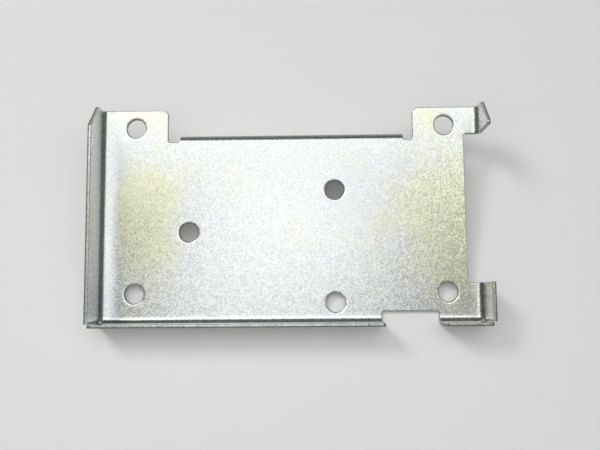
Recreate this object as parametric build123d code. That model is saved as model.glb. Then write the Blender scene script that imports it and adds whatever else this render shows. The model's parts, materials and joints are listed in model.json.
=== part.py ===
from build123d import *

import os

# Stamped tray bracket: one galvanised sheet, pierced and folded. All sizes are in millimetres.
# The origin is the centre of the four corner holes, on the upper face of the floor.
# +X runs along the floor towards the two ears, +Y towards the hanging wall, +Z up out of the tray.

# Sheet
sheet = 1.0                 # thickness of the metal
bend_inside = 1.0           # inside radius of every bend
edge_roll = 0.3             # soft edge that the punch leaves on the upper side of the sheet
tab_bevel = 1.1             # 45 degree cut at the free corners of the upper tabs
inner_corner = 0.7          # rounded corners inside the cut-outs

# Screw holes
pattern_length = 90.0       # corner holes, along X
pattern_width = 48.5        # corner holes, along Y
hole_diameter = 5.5         # clearance for an M5 screw
pair_x = 13.0               # the two holes in line across the floor
pair_spacing = 32.5
pair_margin = 6.35          # lower hole of the pair, from the outer face of the front wall
lone_x = -29.3              # the single hole between the pair and the end wall
lone_y = -6.5
lip_fullness = 0.55         # how full the curve of a hole's lip is, where 0.55 is close to a circle

# Outer faces, measured outwards from the nearest row of corner holes
end_wall_margin = 10.5
ear_margin = 10.6
front_wall_margin = 9.1
tab_margin = 5.4            # free edge of the two upper tabs

# Standing walls
wall_height = 12.0          # tips above the floor's upper face
wall_bevel = 7.0            # 45 degree bevel at the upper end of the end wall
wall_tip_corner = 1.0       # rounded free corners of the front wall and of the hanging wall
ear_corner = 0.5            # rounded corners of the ears and at the ends of the bevels
upper_ear_length = 8.1      # from the free edge of the tab
upper_ear_flat = 1.1        # what the bevel leaves of its top
lower_ear_length = 11.8     # from the outer face of the front wall
ear_gap_depth = 4.9         # edge of the floor between the ears, from their outer face

# Notch in the front wall
notch_margin = 2.6          # its right side, from the corner hole
notch_width = 16.3
notch_depth = 3.8           # edge of the floor in the notch, from the outer face of the front wall

# Hanging wall, between the two upper tabs
left_tab_margin = 9.4       # side of the tab, from its corner hole
right_tab_margin = 9.1
left_relief = 3.5           # gap between the tab and the hanging wall
right_relief = 2.7
left_foot = 0.9             # rounded corners of the reliefs, at the foot of the hanging wall
right_foot = 0.6
hanging_face_margin = 2.15  # outer face, from the upper row of corner holes
hanging_depth = 14.0        # tip below the floor's upper face

# Fit of the folded corners
closed_gap = 0.1            # end wall to front wall
open_gap = 0.2              # lower ear to front wall
wall_lap = 0.4              # the front wall covers this much of the thickness of both
corner_relief = 0.6         # radius of the small hole where two bends meet

# Places that follow from the sizes above
bend_outside = bend_inside + sheet
hole_x = pattern_length / 2
hole_y = pattern_width / 2
left_x = -hole_x - end_wall_margin
right_x = hole_x + ear_margin
front_y = -hole_y - front_wall_margin
tab_y = hole_y + tab_margin
left_bend_x = left_x + bend_outside
right_bend_x = right_x - bend_outside
front_bend_y = front_y + bend_outside
left_tab_x = -hole_x + left_tab_margin
right_tab_x = hole_x - right_tab_margin
hanging_start_x = left_tab_x + left_relief
hanging_end_x = right_tab_x - right_relief
hanging_face_y = hole_y - hanging_face_margin
hanging_bend_y = hanging_face_y - bend_outside
upper_ear_y = tab_y - upper_ear_length
lower_ear_y = front_y + lower_ear_length
ear_gap_x = right_x - ear_gap_depth
notch_end_x = hole_x - notch_margin
notch_start_x = notch_end_x - notch_width
notch_floor_y = front_y + notch_depth
pair_lower_y = front_y + pair_margin
pair_upper_y = pair_lower_y + pair_spacing
clear = 5.0                 # how far a cutting tool runs past the metal


def block(x_range, y_range, z_range):
    """Box given by its limits along X, Y and Z."""
    size = [high - low for low, high in (x_range, y_range, z_range)]
    middle = [(high + low) / 2 for low, high in (x_range, y_range, z_range)]
    return Pos(*middle) * Box(*size)


def panel(x_range, y_range):
    """Rectangle given by its limits along X and Y."""
    width = x_range[1] - x_range[0]
    depth = y_range[1] - y_range[0]
    return Pos(x_range[0] + width / 2, y_range[0] + depth / 2) * Rectangle(width, depth)


def corners_at(shape, x, y_values):
    """Corners of a flat shape that lie at x and at one of the y values."""
    found = [v for v in shape.vertices() if abs(v.X - x) < 1e-6]
    return [v for v in found if any(abs(v.Y - y) < 1e-6 for y in y_values)]


def make_floor():
    """Flat floor up to the lines where the bends begin, with its cut-outs."""
    plan = panel((left_bend_x, right_bend_x), (front_bend_y, tab_y))
    plan -= panel((left_tab_x, right_tab_x), (hanging_bend_y, tab_y + clear))
    plan -= panel((ear_gap_x, right_bend_x + clear), (lower_ear_y, upper_ear_y))
    plan -= panel((notch_start_x, notch_end_x), (front_bend_y - clear, notch_floor_y))
    free_corners = corners_at(plan, left_tab_x, [tab_y]) + corners_at(plan, right_tab_x, [tab_y])
    plan = chamfer(free_corners, tab_bevel)
    bevel_ends = []
    for x, inset in ((left_tab_x, -tab_bevel), (right_tab_x, tab_bevel)):
        bevel_ends += corners_at(plan, x, [tab_y - tab_bevel]) + corners_at(plan, x + inset, [tab_y])
    plan = fillet(bevel_ends, ear_corner)
    inside = corners_at(plan, ear_gap_x, [lower_ear_y, upper_ear_y])
    for x, y in ((left_tab_x, hanging_bend_y), (right_tab_x, hanging_bend_y),
                 (notch_start_x, notch_floor_y), (notch_end_x, notch_floor_y)):
        inside += corners_at(plan, x, [y])
    return extrude(fillet(inside, inner_corner), -sheet)


def quarter_bend(start, end):
    """Bend along +Y: its outside is tangent to X = 0 and it meets the floor at X = bend_outside."""
    ring = Cylinder(bend_outside, end - start) - Cylinder(bend_inside, end - start)
    ring = Pos(bend_outside, (start + end) / 2, bend_inside) * Rot(90, 0, 0) * ring
    return ring & block((0, bend_outside), (start, end), (-sheet, bend_inside))


def folded_wall(fold_span, leg_span, height, tips=(0, 0), bevel=0):
    """Wall along +Y, outer face at X = 0: a quarter bend over fold_span and a flat leg over leg_span."""
    leg = panel(leg_span, (bend_inside, height))
    for place, radius in zip(leg_span, tips):
        if radius:
            leg = fillet(corners_at(leg, place, [height]), radius)
    if bevel:
        leg = chamfer(corners_at(leg, leg_span[1], [height]), bevel)
        bevel_corners = corners_at(leg, leg_span[1], [height - bevel])
        bevel_corners += corners_at(leg, leg_span[1] - bevel, [height])
        leg = fillet(bevel_corners, ear_corner)
    return quarter_bend(*fold_span) + extrude(Plane.YZ * leg, sheet)


def mitred(wall):
    """Cuts the start of a wall's bend at 45 degrees, where it meets the bend of the next wall."""
    beyond = make_face(Polyline((0, 0), (bend_outside, 0), (bend_outside, bend_outside), close=True))
    return wall - extrude(Pos(0, 0, -sheet) * beyond, bend_outside)


def make_standing_walls():
    """The end wall, the two ears and the two pieces of the front wall, each run measured from its corner."""
    across = Plane(origin=(0, 0, 0), z_dir=(1, -1, 0))
    side_end = tab_y - front_y
    upper_ear_bevel = upper_ear_length - upper_ear_flat
    front_leg = sheet - wall_lap
    tips = (wall_tip_corner, wall_tip_corner)
    end_wall = folded_wall((0, side_end), (sheet + closed_gap, side_end), wall_height, bevel=wall_bevel)
    lower_span = (sheet + open_gap, lower_ear_length)
    lower_ear = folded_wall((0, lower_ear_length), lower_span, wall_height, (0, ear_corner))
    upper_span = (side_end - upper_ear_length, side_end)
    upper_ear = folded_wall(upper_span, upper_span, wall_height, (ear_corner, 0), upper_ear_bevel)
    long_end = notch_start_x - left_x
    short_end = right_x - notch_end_x
    long_front = folded_wall((0, long_end), (front_leg, long_end), wall_height, tips)
    short_front = folded_wall((0, short_end), (front_leg, short_end), wall_height, tips)
    at_left = [mitred(end_wall), mirror(mitred(long_front), across)]
    at_right = [mitred(lower_ear), upper_ear, mirror(mitred(short_front), across)]
    placed = [Pos(left_x, front_y) * wall for wall in at_left]
    return placed + [Pos(right_x, front_y) * mirror(wall, Plane.YZ) for wall in at_right]


def make_hanging_wall():
    """Wall folded down along the upper edge, with a rounded foot in the corner of each relief."""
    start = hanging_start_x
    end = hanging_end_x
    foot_span = (start - left_foot, end + right_foot)
    tips = (wall_tip_corner, wall_tip_corner)
    wall = folded_wall(foot_span, (start, end), hanging_depth - sheet, tips)
    wall = mirror(wall, Plane.XY.offset(-sheet / 2))
    wall = Pos(0, hanging_face_y) * Rot(0, 0, -90) * wall
    y_range = (hanging_bend_y, hanging_face_y + clear)
    beyond_left = panel((start - clear, start), y_range)
    beyond_left = fillet(corners_at(beyond_left, start, [hanging_bend_y]), left_foot)
    beyond_right = panel((end, end + clear), y_range)
    beyond_right = fillet(corners_at(beyond_right, end, [hanging_bend_y]), right_foot)
    return wall - [extrude(Pos(0, 0, -clear) * beyond, 2 * clear) for beyond in (beyond_left, beyond_right)]


def upper_side(shape):
    """Faces on the punch's side: the floor's upper face and all that runs on smoothly from it."""
    faces = shape.faces()
    region = [max(faces, key=lambda face: face.area if face.normal_at().Z > 0.99 else 0)]
    for face in region:
        for edge in face.edges():
            middle = edge.position_at(0.5)
            for other in faces:
                if other in region or edge not in other.edges():
                    continue
                if face.normal_at(middle).get_angle(other.normal_at(middle)) < 1:
                    region.append(other)
    return region


def rolled_edges(shape):
    """Free edges of the upper side, longest first, apart from those inside the two folded corners."""
    edges = [edge for face in upper_side(shape) for edge in face.edges()]
    free = [edge for edge in edges if edges.count(edge) == 1 and not in_folded_corner(edge.center())]
    return sorted(free, key=lambda edge: -edge.length)


def in_folded_corner(point):
    """True beside the lines where the front wall meets the end wall and the lower ear."""
    beside = point.X < left_bend_x or point.X > right_bend_x
    return beside and point.Y < front_bend_y


def screw_holes():
    """The seven screw holes. The punch draws the metal in, so each mouth opens upwards in a soft lip."""
    radius = hole_diameter / 2
    mouth = radius + edge_roll
    handle = edge_roll * lip_fullness
    lip = Bezier((radius, -edge_roll), (radius, handle - edge_roll), (mouth - handle, 0), (mouth, 0))
    rest = Polyline((mouth, 0), (mouth, clear), (0, clear), (0, -clear), (radius, -clear),
                    (radius, -edge_roll))
    hole = revolve(Plane.XZ * make_face(lip + rest), Axis.Z)
    places = [(x, y) for x in (-hole_x, hole_x) for y in (-hole_y, hole_y)]
    places += [(pair_x, pair_upper_y), (pair_x, pair_lower_y), (lone_x, lone_y)]
    return [Pos(x, y) * hole for x, y in places]


def relief_holes():
    """Small holes through the corners of the tray, where two bends run into each other."""
    depth = sheet + bend_inside + corner_relief
    hole = Pos(0, 0, depth / 2 - sheet) * Cylinder(corner_relief, depth)
    return [Pos(x, front_y + sheet) * hole for x in (left_x + sheet, right_x - sheet)]


bracket = make_floor() + make_standing_walls() + make_hanging_wall()
bracket = fillet(rolled_edges(bracket), edge_roll)
bracket -= screw_holes() + relief_holes()
bracket.label = "bracket"

os.makedirs("parts", exist_ok=True)
export_step(bracket, "parts/bracket.step")
print("bracket", round(bracket.volume), "mm3", "overall", bracket.bounding_box().size)
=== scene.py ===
import json
import math

import bpy
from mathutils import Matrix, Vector


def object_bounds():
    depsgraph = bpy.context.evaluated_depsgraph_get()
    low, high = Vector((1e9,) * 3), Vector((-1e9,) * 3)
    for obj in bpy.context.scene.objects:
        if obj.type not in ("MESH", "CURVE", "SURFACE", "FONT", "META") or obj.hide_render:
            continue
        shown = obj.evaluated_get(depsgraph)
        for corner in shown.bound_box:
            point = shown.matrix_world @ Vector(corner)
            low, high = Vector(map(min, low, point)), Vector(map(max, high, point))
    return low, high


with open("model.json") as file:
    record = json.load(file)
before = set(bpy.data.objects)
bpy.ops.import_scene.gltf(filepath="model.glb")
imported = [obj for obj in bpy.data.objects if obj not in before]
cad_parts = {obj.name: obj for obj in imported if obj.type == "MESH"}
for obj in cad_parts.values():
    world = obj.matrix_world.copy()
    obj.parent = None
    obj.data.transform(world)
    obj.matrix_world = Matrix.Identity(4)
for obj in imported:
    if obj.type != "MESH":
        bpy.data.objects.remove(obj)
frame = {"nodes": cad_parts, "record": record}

scene = bpy.context.scene
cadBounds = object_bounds()
millimetre = 0.001
intoMillimetres = (1000.0, 1000.0, 1000.0)
print("frame loaded:", ", ".join(sorted(frame["nodes"])))


def inMetres(values):
    return [value * millimetre for value in values]


def inMillimetres(values):
    return [value / millimetre for value in values]


# the camera looks down on the tray, a little from the front and from the right
viewSettings = {"placeMm": (7.33, -24.61, 201.1), "turnDegrees": (5.652, 1.301, -0.446), "lensMm": 42.0,
                "sensorMm": 36.0, "clipM": (0.005, 20.0)}


def makeCamera(settings):
    data = bpy.data.cameras.new("camera")
    data.lens = settings["lensMm"]
    data.sensor_width = settings["sensorMm"]
    data.clip_start, data.clip_end = settings["clipM"]
    camera = bpy.data.objects.new("camera", data)
    camera.location = inMetres(settings["placeMm"])
    camera.rotation_euler = [math.radians(value) for value in settings["turnDegrees"]]
    scene.collection.objects.link(camera)
    scene.camera = camera


makeCamera(viewSettings)
print("camera placed")


# node helpers: each adds one node or a few, and gives back the output socket
def plug(tree, value, socket):
    if isinstance(value, bpy.types.NodeSocket):
        tree.links.new(value, socket)
    else:
        socket.default_value = value


def addMath(tree, operation, *values, clamp=False):
    node = tree.nodes.new("ShaderNodeMath")
    node.operation = operation
    node.use_clamp = clamp
    for value, socket in zip(values, node.inputs):
        plug(tree, value, socket)
    return node.outputs[0]


def addVector(tree, operation, *values):
    node = tree.nodes.new("ShaderNodeVectorMath")
    node.operation = operation
    for value, socket in zip(values, node.inputs):
        plug(tree, value, socket)
    single = operation in ("DOT_PRODUCT", "LENGTH")
    return node.outputs["Value" if single else "Vector"]


def addCombine(tree, x, y, z):
    node = tree.nodes.new("ShaderNodeCombineXYZ")
    for value, socket in zip((x, y, z), node.inputs):
        plug(tree, value, socket)
    return node.outputs[0]


def addEven(tree, value):
    return addCombine(tree, value, value, value)


def addSeparate(tree, vector):
    node = tree.nodes.new("ShaderNodeSeparateXYZ")
    plug(tree, vector, node.inputs[0])
    return node.outputs


def addRange(tree, value, low, high, toLow=0.0, toHigh=1.0):
    node = tree.nodes.new("ShaderNodeMapRange")
    node.interpolation_type = "SMOOTHSTEP"
    for item, socket in zip((value, low, high, toLow, toHigh), node.inputs):
        plug(tree, item, socket)
    return node.outputs[0]


def addMix(tree, factor, first, second, blend="MIX"):
    node = tree.nodes.new("ShaderNodeMix")
    node.data_type = "RGBA"
    node.blend_type = blend
    plug(tree, factor, node.inputs[0])
    plug(tree, first, node.inputs[6])
    plug(tree, second, node.inputs[7])
    return node.outputs[2]


def addBlend(tree, factor, first, second):
    node = tree.nodes.new("ShaderNodeMix")
    node.data_type = "FLOAT"
    plug(tree, factor, node.inputs[0])
    plug(tree, first, node.inputs[2])
    plug(tree, second, node.inputs[3])
    return node.outputs[0]


# darkens a shade by the given share where the mask is 1
def addDarkened(tree, shade, mask, share):
    kept = addMath(tree, "SUBTRACT", 1.0, addMath(tree, "MULTIPLY", mask, share))
    return addMath(tree, "MULTIPLY", shade, kept)


# 1 for the rays that see a thing, straight or in a mirror or through glass, and 0 for those that light it
def addSeen(tree):
    path = tree.nodes.new("ShaderNodeLightPath").outputs
    seen = addMath(tree, "MAXIMUM", path["Is Camera Ray"], path["Is Glossy Ray"])
    return addMath(tree, "MAXIMUM", seen, path["Is Transmission Ray"])


def addNoise(tree, vector, scale, detail=2.0, roughness=0.5):
    node = tree.nodes.new("ShaderNodeTexNoise")
    plug(tree, vector, node.inputs["Vector"])
    plug(tree, scale, node.inputs["Scale"])
    node.inputs["Detail"].default_value = detail
    node.inputs["Roughness"].default_value = roughness
    return node.outputs["Fac"]


def addCells(tree, vector, scale):
    node = tree.nodes.new("ShaderNodeTexVoronoi")
    plug(tree, vector, node.inputs["Vector"])
    plug(tree, scale, node.inputs["Scale"])
    return node.outputs["Color"]


def newGroup(name, inputs, outputs):
    tree = bpy.data.node_groups.new(name, "ShaderNodeTree")
    for label, kind, value in inputs:
        socket = tree.interface.new_socket(name=label, in_out="INPUT", socket_type="NodeSocket" + kind)
        if value is not None:
            socket.default_value = value
    for label, kind in outputs:
        tree.interface.new_socket(name=label, in_out="OUTPUT", socket_type="NodeSocket" + kind)
    given = tree.nodes.new("NodeGroupInput").outputs
    result = tree.nodes.new("NodeGroupOutput").inputs
    return tree, given, result


def placeGroup(tree, group, values):
    node = tree.nodes.new("ShaderNodeGroup")
    node.node_tree = group
    for label, value in values.items():
        plug(tree, value, node.inputs[label])
    return node.outputs


# the sheet in millimetres: its thickness, the radius inside a bend, and where the hanging wall folds and ends
sheetSizes = {"sheet": 1.0, "bendInside": 1.0, "hanging": 20.1, "hangingStart": -33.0, "hangingEnd": 33.8}
# cutFacing is how far a face still looks along the sheet's normal where a cut edge begins and where it is
# full, and bendSlant is how far the sheet slants where a bend begins and where it is full
sheetMasks = {"cutFacing": (0.75, 0.25), "bendSlant": (0.0, 0.5)}


# The flat floor ends and a bend begins one outside radius of a bend inside each outer face.
def findFoldLines(sizes):
    left, front, lowest = inMillimetres(cadBounds[0])
    right = cadBounds[1][0] / millimetre
    outside = sizes["bendInside"] + sizes["sheet"]
    return {**sizes, "bendOutside": outside, "left": left + outside, "right": right - outside,
            "front": front + outside, "lowest": lowest}


# Depth is 0 on the punch's side of the sheet and 1 on the burr's side, worked out from the distance to the
# axis of the nearest bend. Cut is 1 on the sheared edges, where the face turns away from the sheet's normal.
# Upper side is positive on the floor's upper face and on those that go on from it. Bend is 1 in a bend.
def makeSheetGroup(lines, masks):
    inputs = [("Place", "Vector", None), ("Normal", "Vector", None)]
    outputs = [("Depth", "Float"), ("Cut", "Float"), ("Upper side", "Float"), ("Bend", "Float")]
    tree, given, result = newGroup("sheetDepth", inputs, outputs)
    place = addVector(tree, "MULTIPLY", given["Place"], intoMillimetres)
    x, y, z = addSeparate(tree, place)
    pastLeft = addMath(tree, "MINIMUM", addMath(tree, "SUBTRACT", x, lines["left"]), 0.0)
    pastRight = addMath(tree, "MAXIMUM", addMath(tree, "SUBTRACT", x, lines["right"]), 0.0)
    pastFront = addMath(tree, "MINIMUM", addMath(tree, "SUBTRACT", y, lines["front"]), 0.0)
    below = addMath(tree, "MINIMUM", addMath(tree, "SUBTRACT", z, lines["bendInside"]), 0.0)
    standing = addCombine(tree, addMath(tree, "ADD", pastLeft, pastRight), pastFront, below)
    standingDepth = addMath(tree, "SUBTRACT", addVector(tree, "LENGTH", standing), lines["bendInside"])
    pastHanging = addMath(tree, "MAXIMUM", addMath(tree, "SUBTRACT", y, lines["hanging"]), 0.0)
    above = addMath(tree, "MAXIMUM", addMath(tree, "ADD", z, lines["bendOutside"]), 0.0)
    hanging = addCombine(tree, 0.0, pastHanging, above)
    hangingDepth = addMath(tree, "SUBTRACT", lines["bendOutside"], addVector(tree, "LENGTH", hanging))
    inWidth = addMath(tree, "MULTIPLY", addMath(tree, "GREATER_THAN", x, lines["hangingStart"]),
                      addMath(tree, "LESS_THAN", x, lines["hangingEnd"]))
    isHanging = addMath(tree, "MULTIPLY", inWidth, addMath(tree, "GREATER_THAN", y, lines["hanging"]))
    depth = addBlend(tree, isHanging, standingDepth, hangingDepth)
    mixed = tree.nodes.new("ShaderNodeMix")
    mixed.data_type = "VECTOR"
    plug(tree, isHanging, mixed.inputs[0])
    plug(tree, standing, mixed.inputs[4])
    plug(tree, hanging, mixed.inputs[5])
    across = addVector(tree, "NORMALIZE", mixed.outputs[1])
    facing = addVector(tree, "DOT_PRODUCT", across, given["Normal"])
    plug(tree, addMath(tree, "DIVIDE", depth, lines["sheet"], clamp=True), result["Depth"])
    plug(tree, addRange(tree, addMath(tree, "ABSOLUTE", facing), *masks["cutFacing"]), result["Cut"])
    side = addBlend(tree, isHanging, -1.0, 1.0)
    plug(tree, addMath(tree, "MULTIPLY", facing, side), result["Upper side"])
    # the direction from the axis lies flat or upright on the straight parts, and slants only in a bend
    flatPart = addVector(tree, "LENGTH", addVector(tree, "MULTIPLY", across, (1.0, 1.0, 0.0)))
    uprightPart = addMath(tree, "ABSOLUTE", addSeparate(tree, across)[2])
    slant = addMath(tree, "MULTIPLY", flatPart, uprightPart)
    plug(tree, addRange(tree, slant, *masks["bendSlant"]), result["Bend"])
    return tree


# sizes are in millimetres, and the scales of noise in bumps to the millimetre
zincGrain = {"crystalSize": 0.32, "cloudSize": 18.0, "cloudDetail": 3.0, "pushScales": (2.1, 2.4, 2.7),
             "push": (0.08, 0.08, 0.08), "fineScale": 3.4, "fineDetail": 4.0, "fineShare": 0.55,
             "speckScale": 2.6, "speckDetail": 3.0, "speckFrom": (0.68, 0.76), "harshness": 0.7}


# grain of the zinc: crystals a third of a millimetre wide, each leaning its own way, under slow clouds
def makeZincGroup(grain):
    inputs = [("Place", "Vector", None), ("Crystal size", "Float", grain["crystalSize"]),
              ("Cloud size", "Float", grain["cloudSize"])]
    outputs = [("Crystals", "Float"), ("Lean", "Vector"), ("Height", "Float"), ("Clouds", "Float"),
               ("Specks", "Float")]
    tree, given, result = newGroup("zincGrain", inputs, outputs)
    place = addVector(tree, "MULTIPLY", given["Place"], intoMillimetres)
    # a small push that differs from place to place makes the borders of the crystals uneven
    pushed = addCombine(tree, *[addNoise(tree, place, scale) for scale in grain["pushScales"]])
    bent = addVector(tree, "ADD", place, addVector(tree, "MULTIPLY", pushed, grain["push"]))
    cells = addCells(tree, bent, addMath(tree, "DIVIDE", 1.0, given["Crystal size"]))
    cellShade = addSeparate(tree, cells)[0]
    fine = addNoise(tree, place, grain["fineScale"], grain["fineDetail"], grain["harshness"])
    plug(tree, addBlend(tree, grain["fineShare"], cellShade, fine), result["Crystals"])
    plug(tree, fine, result["Height"])
    plug(tree, addVector(tree, "SUBTRACT", cells, (0.5, 0.5, 0.5)), result["Lean"])
    cloudScale = addMath(tree, "DIVIDE", 1.0, given["Cloud size"])
    plug(tree, addNoise(tree, place, cloudScale, grain["cloudDetail"]), result["Clouds"])
    specks = addNoise(tree, place, grain["speckScale"], grain["speckDetail"], grain["harshness"])
    plug(tree, addRange(tree, specks, *grain["speckFrom"]), result["Specks"])
    return tree


# Centres and radius of the seven holes in millimetres, from the frame's mounts: four corners by symmetry, two
# in line, and one alone.
def findHoles():
    mounts = {mount["name"]: mount for mount in frame["record"]["mounts"]}
    corners, pair = mounts["corner_holes"]["dims"], mounts["middle_pair"]
    return {"corner": (corners["spacing_x_mm"] / 2.0, corners["spacing_y_mm"] / 2.0),
            "pair": inMillimetres(pair["pos_m"]), "pairHalf": pair["dims"]["spacing_y_mm"] / 2.0,
            "lone": inMillimetres(mounts["lone_hole"]["pos_m"]), "radius": corners["hole_r_mm"]}


# how far the normal leans, and over how many millimetres, beside the left bend, the other bends and the holes,
# and how far into a bend the lean dies away
pressedForm = {"leftLean": 0.17, "leftReach": 4.2, "bendLean": 0.20, "bendReach": 1.0,
               "lipLean": 0.24, "lipReach": 0.9, "fadeInBend": -0.8}


# Around a pierced hole the sheet sinks towards it, so its normal leans to the centre over a narrow ring.
def makeLipGroup(form, holes):
    inputs = [("Off centre", "Vector", None), ("Hole radius", "Float", holes["radius"]),
              ("Reach", "Float", form["lipReach"])]
    tree, given, result = newGroup("holeLip", inputs, [("Lean", "Vector")])
    flat = addVector(tree, "MULTIPLY", given["Off centre"], (1.0, 1.0, 0.0))
    away = addMath(tree, "SUBTRACT", addVector(tree, "LENGTH", flat), given["Hole radius"])
    share = addRange(tree, away, given["Reach"], 0.0)
    inwards = addVector(tree, "MULTIPLY", addVector(tree, "NORMALIZE", flat), (-1.0, -1.0, 0.0))
    plug(tree, addVector(tree, "MULTIPLY", inwards, addCombine(tree, share, share, 0.0)), result["Lean"])
    return tree


# The sheet already curves a little before each upward bend. This gentle start, and the sunken lips of the
# holes, are a lean of the normal: towards +X at the left bend, -X at the right one and +Y at the front one.
def makeFormGroup(form, lines, holes, lipGroup):
    inputs = [("Place", "Vector", None), ("Normal", "Vector", None), ("Upper side", "Float", 1.0),
              ("Left lean", "Float", form["leftLean"]), ("Left reach", "Float", form["leftReach"]),
              ("Bend lean", "Float", form["bendLean"]), ("Bend reach", "Float", form["bendReach"]),
              ("Lip lean", "Float", form["lipLean"])]
    tree, given, result = newGroup("pressedForm", inputs, [("Normal", "Vector")])
    place = addVector(tree, "MULTIPLY", given["Place"], intoMillimetres)
    x, y, _ = addSeparate(tree, place)

    # the lean grows up to the line where the bend begins, and dies away in the bend itself
    def leanOf(distance, reach, amount):
        before = addRange(tree, distance, reach, 0.0)
        inside = addRange(tree, distance, form["fadeInBend"], 0.0)
        return addMath(tree, "MULTIPLY", addMath(tree, "MULTIPLY", before, inside), amount)

    left = leanOf(addMath(tree, "SUBTRACT", x, lines["left"]), given["Left reach"], given["Left lean"])
    right = leanOf(addMath(tree, "SUBTRACT", lines["right"], x), given["Bend reach"], given["Bend lean"])
    front = leanOf(addMath(tree, "SUBTRACT", y, lines["front"]), given["Bend reach"], given["Bend lean"])
    bends = addCombine(tree, addMath(tree, "SUBTRACT", left, right), front, 0.0)
    beyondX = addMath(tree, "SUBTRACT", addMath(tree, "ABSOLUTE", x), holes["corner"][0])
    beyondY = addMath(tree, "SUBTRACT", addMath(tree, "ABSOLUTE", y), holes["corner"][1])
    fromPairX = addMath(tree, "SUBTRACT", x, holes["pair"][0])
    fromPairY = addMath(tree, "SUBTRACT", y, holes["pair"][1])
    beyondPair = addMath(tree, "SUBTRACT", addMath(tree, "ABSOLUTE", fromPairY), holes["pairHalf"])
    corner = placeGroup(tree, lipGroup, {"Off centre": addCombine(tree, beyondX, beyondY, 0.0)})[0]
    pair = placeGroup(tree, lipGroup, {"Off centre": addCombine(tree, fromPairX, beyondPair, 0.0)})[0]
    lone = placeGroup(tree, lipGroup, {"Off centre": addVector(tree, "SUBTRACT", place, holes["lone"])})[0]
    cornerSides = addCombine(tree, addMath(tree, "SIGN", x), addMath(tree, "SIGN", y), 0.0)
    pairSides = addCombine(tree, 1.0, addMath(tree, "SIGN", fromPairY), 0.0)
    lips = addVector(tree, "ADD", addVector(tree, "MULTIPLY", corner, cornerSides),
                     addVector(tree, "MULTIPLY", pair, pairSides))
    onUpperSide = addMath(tree, "GREATER_THAN", given["Upper side"], 0.0)
    lipLean = addMath(tree, "MULTIPLY", given["Lip lean"], onUpperSide)
    lips = addVector(tree, "MULTIPLY", addVector(tree, "ADD", lips, lone),
                     addCombine(tree, lipLean, lipLean, 0.0))
    lean = addVector(tree, "MULTIPLY", addVector(tree, "ADD", bends, lips),
                     addCombine(tree, given["Upper side"], given["Upper side"], 0.0))
    leaning = addVector(tree, "ADD", given["Normal"], lean)
    plug(tree, addVector(tree, "NORMALIZE", leaning), result["Normal"])
    return tree


# stretch is how fine the noise is along, across and through a scratch, in bumps to the millimetre
scratchForm = {"stretch": (0.035, 4.0, 0.4), "width": 0.010, "patchScale": 0.09, "patchLevel": 0.75}


# fine handling scratches: thin lines that noise stretched along one direction leaves
def makeScratchGroup(form):
    inputs = [("Place", "Vector", None), ("Direction degrees", "Float", 20.0), ("Density", "Float", 0.5)]
    tree, given, result = newGroup("scratches", inputs, [("Scratches", "Float")])
    place = addVector(tree, "MULTIPLY", given["Place"], intoMillimetres)
    turn = tree.nodes.new("ShaderNodeVectorRotate")
    turn.rotation_type = "Z_AXIS"
    plug(tree, place, turn.inputs["Vector"])
    plug(tree, addMath(tree, "RADIANS", given["Direction degrees"]), turn.inputs["Angle"])
    stretched = addVector(tree, "MULTIPLY", turn.outputs[0], form["stretch"])
    lines = addNoise(tree, stretched, 1.0, 1.0)
    patches = addNoise(tree, place, form["patchScale"])
    ridge = addMath(tree, "ABSOLUTE", addMath(tree, "SUBTRACT", lines, 0.5))
    thin = addRange(tree, ridge, form["width"], 0.0)
    fewest = addMath(tree, "SUBTRACT", form["patchLevel"], given["Density"])
    kept = addRange(tree, patches, fewest, form["patchLevel"])
    plug(tree, addMath(tree, "MULTIPLY", thin, kept), result["Scratches"])
    return tree


foldLines = findFoldLines(sheetSizes)
holePlaces = findHoles()
sheetGroup = makeSheetGroup(foldLines, sheetMasks)
zincGroup = makeZincGroup(zincGrain)
scratchGroup = makeScratchGroup(scratchForm)
formGroup = makeFormGroup(pressedForm, foldLines, holePlaces, makeLipGroup(pressedForm, holePlaces))
print("node groups made")

galvanised = {
    # tints of the zinc, and where on the floor the warm one lies as painted light colour
    "coolTint": (0.635, 0.662, 0.665, 1.0), "warmTint": (0.668, 0.675, 0.515, 1.0),
    "warmFromMm": (20.0, 44.0), "warmBehindMm": (-50.0, 6.0), "warmTabsMm": (2.0, 19.0), "warmthOfTabs": 0.4,
    "paintedHighlightBandMm": (-51.0, -47.5), "warmthInPaintedHighlight": 0.25, "paintedWarmthAdded": (-0.10, 0.18),
    "cloudMean": 0.5, "cloudShare": 0.5, "warmClouds": (0.38, 0.68),
    # the crystals: how their noise spreads, and what each does to shade, roughness and lean
    "crystalSpread": (0.2, 0.8), "crystalShades": (0.76, 1.08), "roughness": (0.25, 0.33),
    "leanFromMm": (-50.0, 75.0), "leanForwards": 1.5, "leanOfCrystals": (0.012, 0.14),
    "grainHeight": 0.000004, "grainStrength": 0.5,
    # specks, painted shade in the bends, and scratches
    "speckDarkening": 0.25, "bendPaintedShade": 0.5, "scratchDegrees": 62.0, "scratchDensity": 0.32,
    "scratchShine": 0.07, "scratchDepth": 0.3,
    # the cut edges, by the depth in the sheet; a noise is its bumps to the metre, detail and roughness
    # both cut-edge colours are kept low also as painted shade, standing in for the shadow seen inside the
    # holes
    "burnishedShadedColor": (0.55, 0.57, 0.54, 1.0), "fracturedShadedColor": (0.20, 0.20, 0.19, 1.0),
    "burnishedRoughness": 0.30, "fracturedRoughness": 0.60, "burnishEnd": 0.72, "tornWidth": 0.15,
    "raggedNoise": (3000.0, 3.0, 0.6), "raggedness": 0.25,
    "mottleNoise": (1600.0, 3.0, 0.65), "mottleSpread": (0.3, 0.7), "mottleShades": (0.60, 1.1),
    # the dark rim line along the cut edges is painted shade
    "paintedRimShade": (0.16, 0.14, 0.12, 1.0), "paintedRimFrom": (0.10, 0.25), "paintedRimStrength": 0.75, "paintedRimDepth": (0.6, 0.4),
}
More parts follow.
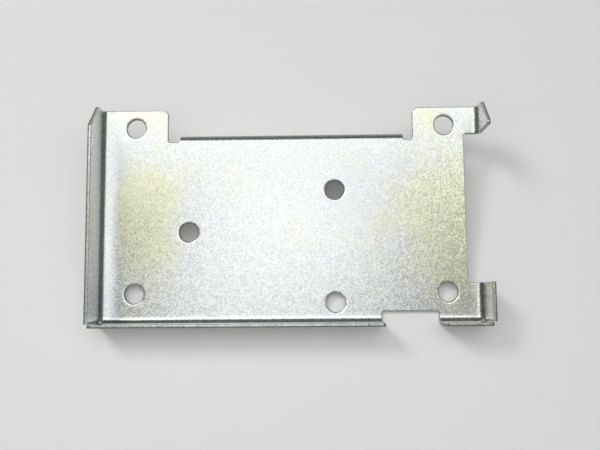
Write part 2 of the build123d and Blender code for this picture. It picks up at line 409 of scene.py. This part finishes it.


# The tint is warmest at both ends of the floor's middle, fades towards the front and the rear tabs, and is
# cooler beside the left bend: painted light colour, warm room light at the ends and the cool glare elsewhere,
# laid over the slow clouds that are the zinc's own tone.
def addTint(tree, values, across, along, clouds):
    ends = addRange(tree, addMath(tree, "ABSOLUTE", across), *inMetres(values["warmFromMm"]))
    kept = addRange(tree, across, *inMetres(values["paintedHighlightBandMm"]), values["warmthInPaintedHighlight"], 1.0)
    rear = addRange(tree, along, *inMetres(values["warmBehindMm"]))
    tabs = addRange(tree, along, *inMetres(values["warmTabsMm"]), 1.0, values["warmthOfTabs"])
    paintedWarmLight = addMath(tree, "MULTIPLY", addMath(tree, "MULTIPLY", ends, kept),
                         addMath(tree, "MULTIPLY", rear, tabs))
    added = addRange(tree, paintedWarmLight, 0.0, 1.0, *values["paintedWarmthAdded"])
    softened = addBlend(tree, values["cloudShare"], clouds, values["cloudMean"])
    warmth = addRange(tree, addMath(tree, "ADD", softened, added), *values["warmClouds"])
    return addMix(tree, warmth, values["coolTint"], values["warmTint"])


# The bends are darkened with painted shade, so that their bands stay dark under the light from the side, and a
# scratch is a little brighter.
def addZincColor(tree, values, tint, zinc, scratches, bend):
    shade = addRange(tree, zinc["Crystals"], *values["crystalSpread"], *values["crystalShades"])
    shade = addDarkened(tree, shade, zinc["Specks"], values["speckDarkening"])
    shade = addMath(tree, "ADD", shade, addMath(tree, "MULTIPLY", scratches, values["scratchShine"]))
    shade = addDarkened(tree, shade, bend, values["bendPaintedShade"])
    return addMix(tree, 1.0, tint, addEven(tree, shade), "MULTIPLY")


# A cut edge has its burnish zone from the punch's side down to a ragged line, and is torn and darker past it;
# both colours are also lowered as painted shade.
def addCutEdge(tree, values, place, depth):
    ragged = addNoise(tree, place, *values["raggedNoise"])
    ragged = addMath(tree, "ADD", depth, addMath(tree, "MULTIPLY", ragged, values["raggedness"]))
    torn = addRange(tree, ragged, values["burnishEnd"], values["burnishEnd"] + values["tornWidth"])
    color = addMix(tree, torn, values["burnishedShadedColor"], values["fracturedShadedColor"])
    rough = addBlend(tree, torn, values["burnishedRoughness"], values["fracturedRoughness"])
    mottle = addNoise(tree, place, *values["mottleNoise"])
    mottle = addRange(tree, mottle, *values["mottleSpread"], *values["mottleShades"])
    return addMix(tree, 1.0, color, addEven(tree, mottle), "MULTIPLY"), rough


# a thin dark line painted as shade where a face meets a cut edge, on the punch's side of the sheet, standing
# in for the dark reflection of the rounded rim
def addPaintedRim(tree, values, cut, depth):
    border = addMath(tree, "MULTIPLY", cut, addMath(tree, "SUBTRACT", 1.0, cut))
    return addMath(tree, "MULTIPLY", addRange(tree, border, *values["paintedRimFrom"], 0.0, values["paintedRimStrength"]),
                   addRange(tree, depth, *values["paintedRimDepth"]))


# The crystals lean most towards the front right corner of the floor, and least at the rear left.
def addGrainNormal(tree, values, across, along, formed, zinc, scratches):
    towards = addMath(tree, "SUBTRACT", across, addMath(tree, "MULTIPLY", along, values["leanForwards"]))
    lean = addRange(tree, towards, *inMetres(values["leanFromMm"]), *values["leanOfCrystals"])
    grained = addVector(tree, "ADD", formed, addVector(tree, "MULTIPLY", zinc["Lean"], addEven(tree, lean)))
    toWorld = tree.nodes.new("ShaderNodeVectorTransform")
    toWorld.vector_type = "NORMAL"
    toWorld.convert_from = "OBJECT"
    toWorld.convert_to = "WORLD"
    plug(tree, grained, toWorld.inputs[0])
    bump = tree.nodes.new("ShaderNodeBump")
    bump.inputs["Strength"].default_value = values["grainStrength"]
    bump.inputs["Distance"].default_value = values["grainHeight"]
    sunk = addMath(tree, "MULTIPLY", scratches, values["scratchDepth"])
    plug(tree, addMath(tree, "SUBTRACT", zinc["Height"], sunk), bump.inputs["Height"])
    plug(tree, addVector(tree, "NORMALIZE", toWorld.outputs[0]), bump.inputs["Normal"])
    return bump.outputs[0]


def makeGalvanised(values):
    material = bpy.data.materials.new("galvanisedSteel")
    material.use_nodes = True
    tree = material.node_tree
    tree.nodes.clear()
    shader = tree.nodes.new("ShaderNodeBsdfPrincipled")
    output = tree.nodes.new("ShaderNodeOutputMaterial")
    tree.links.new(shader.outputs[0], output.inputs[0])
    shader.inputs["Metallic"].default_value = 1.0
    where = tree.nodes.new("ShaderNodeTexCoord").outputs
    place, normal = where["Object"], where["Normal"]
    sheet = placeGroup(tree, sheetGroup, {"Place": place, "Normal": normal})
    zinc = placeGroup(tree, zincGroup, {"Place": place})
    scratches = placeGroup(tree, scratchGroup, {"Place": place, "Direction degrees": values["scratchDegrees"],
                                                "Density": values["scratchDensity"]})[0]
    formed = placeGroup(tree, formGroup, {"Place": place, "Normal": normal,
                                          "Upper side": sheet["Upper side"]})[0]
    across, along, _ = addSeparate(tree, place)
    tint = addTint(tree, values, across, along, zinc["Clouds"])
    zincColor = addZincColor(tree, values, tint, zinc, scratches, sheet["Bend"])
    zincRough = addRange(tree, zinc["Crystals"], *values["crystalSpread"], *values["roughness"])
    cutColor, cutRough = addCutEdge(tree, values, place, sheet["Depth"])
    edged = addMix(tree, sheet["Cut"], zincColor, cutColor)
    paintedRimShade = addPaintedRim(tree, values, sheet["Cut"], sheet["Depth"])
    plug(tree, addMix(tree, paintedRimShade, edged, values["paintedRimShade"]), shader.inputs["Base Color"])
    rough = addBlend(tree, sheet["Cut"], zincRough, cutRough)
    polish = addMath(tree, "MULTIPLY", scratches, values["scratchShine"])
    plug(tree, addMath(tree, "SUBTRACT", rough, polish), shader.inputs["Roughness"])
    plug(tree, addGrainNormal(tree, values, across, along, formed, zinc, scratches), shader.inputs["Normal"])
    return material


bracket = frame["nodes"]["bracket"]
steel = makeGalvanised(galvanised)
bracket.data.materials.clear()
bracket.data.materials.append(steel)
print("bracket finished")

floorSettings = {"sizeM": 20.0, "color": (0.86, 0.86, 0.855, 1.0), "roughness": 0.9, "specular": 0.2,
                 "seenGlow": (0.10, 0.42), "glowFromM": (0.3, 2.0)}


# The part lies on its front bend and on the tip of its hanging wall, so the floor is the tilted plane that
# touches the round of the one and the tip of the other.
def findRest(lines):
    toTip = lines["hanging"] + lines["bendInside"] - lines["front"]
    downToTip = lines["bendInside"] - lines["lowest"]
    radius = lines["bendOutside"]
    tilt = math.atan2(downToTip, toTip) - math.asin(radius / math.hypot(toTip, downToTip))
    contact = (0.0, lines["front"] - radius * math.sin(tilt), lines["bendInside"] - radius * math.cos(tilt))
    return tilt, contact


# A little glow that only seeing rays meet pales the floor. From below the floor is clear, so that the
# underside shows.
def makeFloor(settings, tilt, contact):
    bpy.ops.mesh.primitive_plane_add(size=settings["sizeM"])
    floor = bpy.context.object
    floor.name = "floor"
    floor.location = inMetres(contact)
    floor.rotation_euler = (-tilt, 0.0, 0.0)
    material = bpy.data.materials.new("paleFloor")
    material.use_nodes = True
    tree = material.node_tree
    shader = tree.nodes["Principled BSDF"]
    shader.inputs["Base Color"].default_value = settings["color"]
    shader.inputs["Roughness"].default_value = settings["roughness"]
    shader.inputs["Specular IOR Level"].default_value = settings["specular"]
    shader.inputs["Emission Color"].default_value = settings["color"]
    # the glow grows with the distance, where the lamps no longer reach
    distance = addVector(tree, "LENGTH", tree.nodes.new("ShaderNodeTexCoord").outputs["Object"])
    glow = addRange(tree, distance, *settings["glowFromM"], *settings["seenGlow"])
    plug(tree, addMath(tree, "MULTIPLY", addSeen(tree), glow), shader.inputs["Emission Strength"])
    behind = tree.nodes.new("ShaderNodeNewGeometry").outputs["Backfacing"]
    plug(tree, addMath(tree, "SUBTRACT", 1.0, behind), shader.inputs["Alpha"])
    floor.data.materials.append(material)


makeFloor(floorSettings, *findRest(foldLines))
print("floor laid")

# a key at the back left for the shadows, a broad soft box overhead towards the back, a small box beside the
# camera whose glare lies on the middle of the bracket, and two weak fills at the right, the lower one for the
# end wall
lampSettings = {
    "keyLamp": {"placeMm": (-380.0, 360.0, 520.0), "aimMm": (0.0, 0.0, 0.0),
                "sizeMm": (240.0, 240.0), "watts": 1.3},
    "softBox": {"placeMm": (-35.0, 360.0, 930.0), "aimMm": (0.0, 0.0, 0.0),
                "sizeMm": (900.0, 520.0), "watts": 1.76},
    "glareLamp": {"placeMm": (-19.0, -19.0, 225.5), "aimMm": (0.0, -15.0, 0.0),
                  "sizeMm": (105.0, 160.0), "watts": 0.046},
    "backFill": {"placeMm": (430.0, 270.0, 880.0), "aimMm": (0.0, 0.0, 0.0),
                 "sizeMm": (280.0, 360.0), "watts": 0.38},
    "sideFill": {"placeMm": (560.0, 60.0, 720.0), "aimMm": (-50.0, 0.0, 0.0),
                 "sizeMm": (220.0, 400.0), "watts": 0.30},
}
fillSettings = {"overhead": (0.37, 0.37, 0.36, 1.0), "level": (0.08, 0.08, 0.08, 1.0),
                "heights": (0.25, 0.95),
                "backdrop": (0.68, 0.68, 0.675, 1.0), "backdropHeights": (0.34, 0.12)}


def makeLamp(name, settings):
    data = bpy.data.lights.new(name, "AREA")
    data.shape = "ELLIPSE"
    data.size, data.size_y = inMetres(settings["sizeMm"])
    data.energy = settings["watts"]
    lamp = bpy.data.objects.new(name, data)
    lamp.location = inMetres(settings["placeMm"])
    direction = lamp.location - Vector(inMetres(settings["aimMm"]))
    lamp.rotation_euler = direction.to_track_quat("Z", "Y").to_euler()
    scene.collection.objects.link(lamp)


# Seeing rays meet a pale backdrop low round the room; above it the room is dim up to the glow overhead.
def makeWorld(settings):
    world = bpy.data.worlds.new("softRoom")
    world.use_nodes = True
    tree = world.node_tree
    up = addSeparate(tree, tree.nodes.new("ShaderNodeTexCoord").outputs["Generated"])[2]
    glow = addMix(tree, addRange(tree, up, *settings["heights"]), settings["level"], settings["overhead"])
    low = addMath(tree, "MULTIPLY", addRange(tree, up, *settings["backdropHeights"]), addSeen(tree))
    plug(tree, addMix(tree, low, glow, settings["backdrop"]), tree.nodes["Background"].inputs["Color"])
    scene.world = world


for lampName, lampValues in lampSettings.items():
    makeLamp(lampName, lampValues)
makeWorld(fillSettings)
scene.view_settings.view_transform = "Standard"
print("lights set")
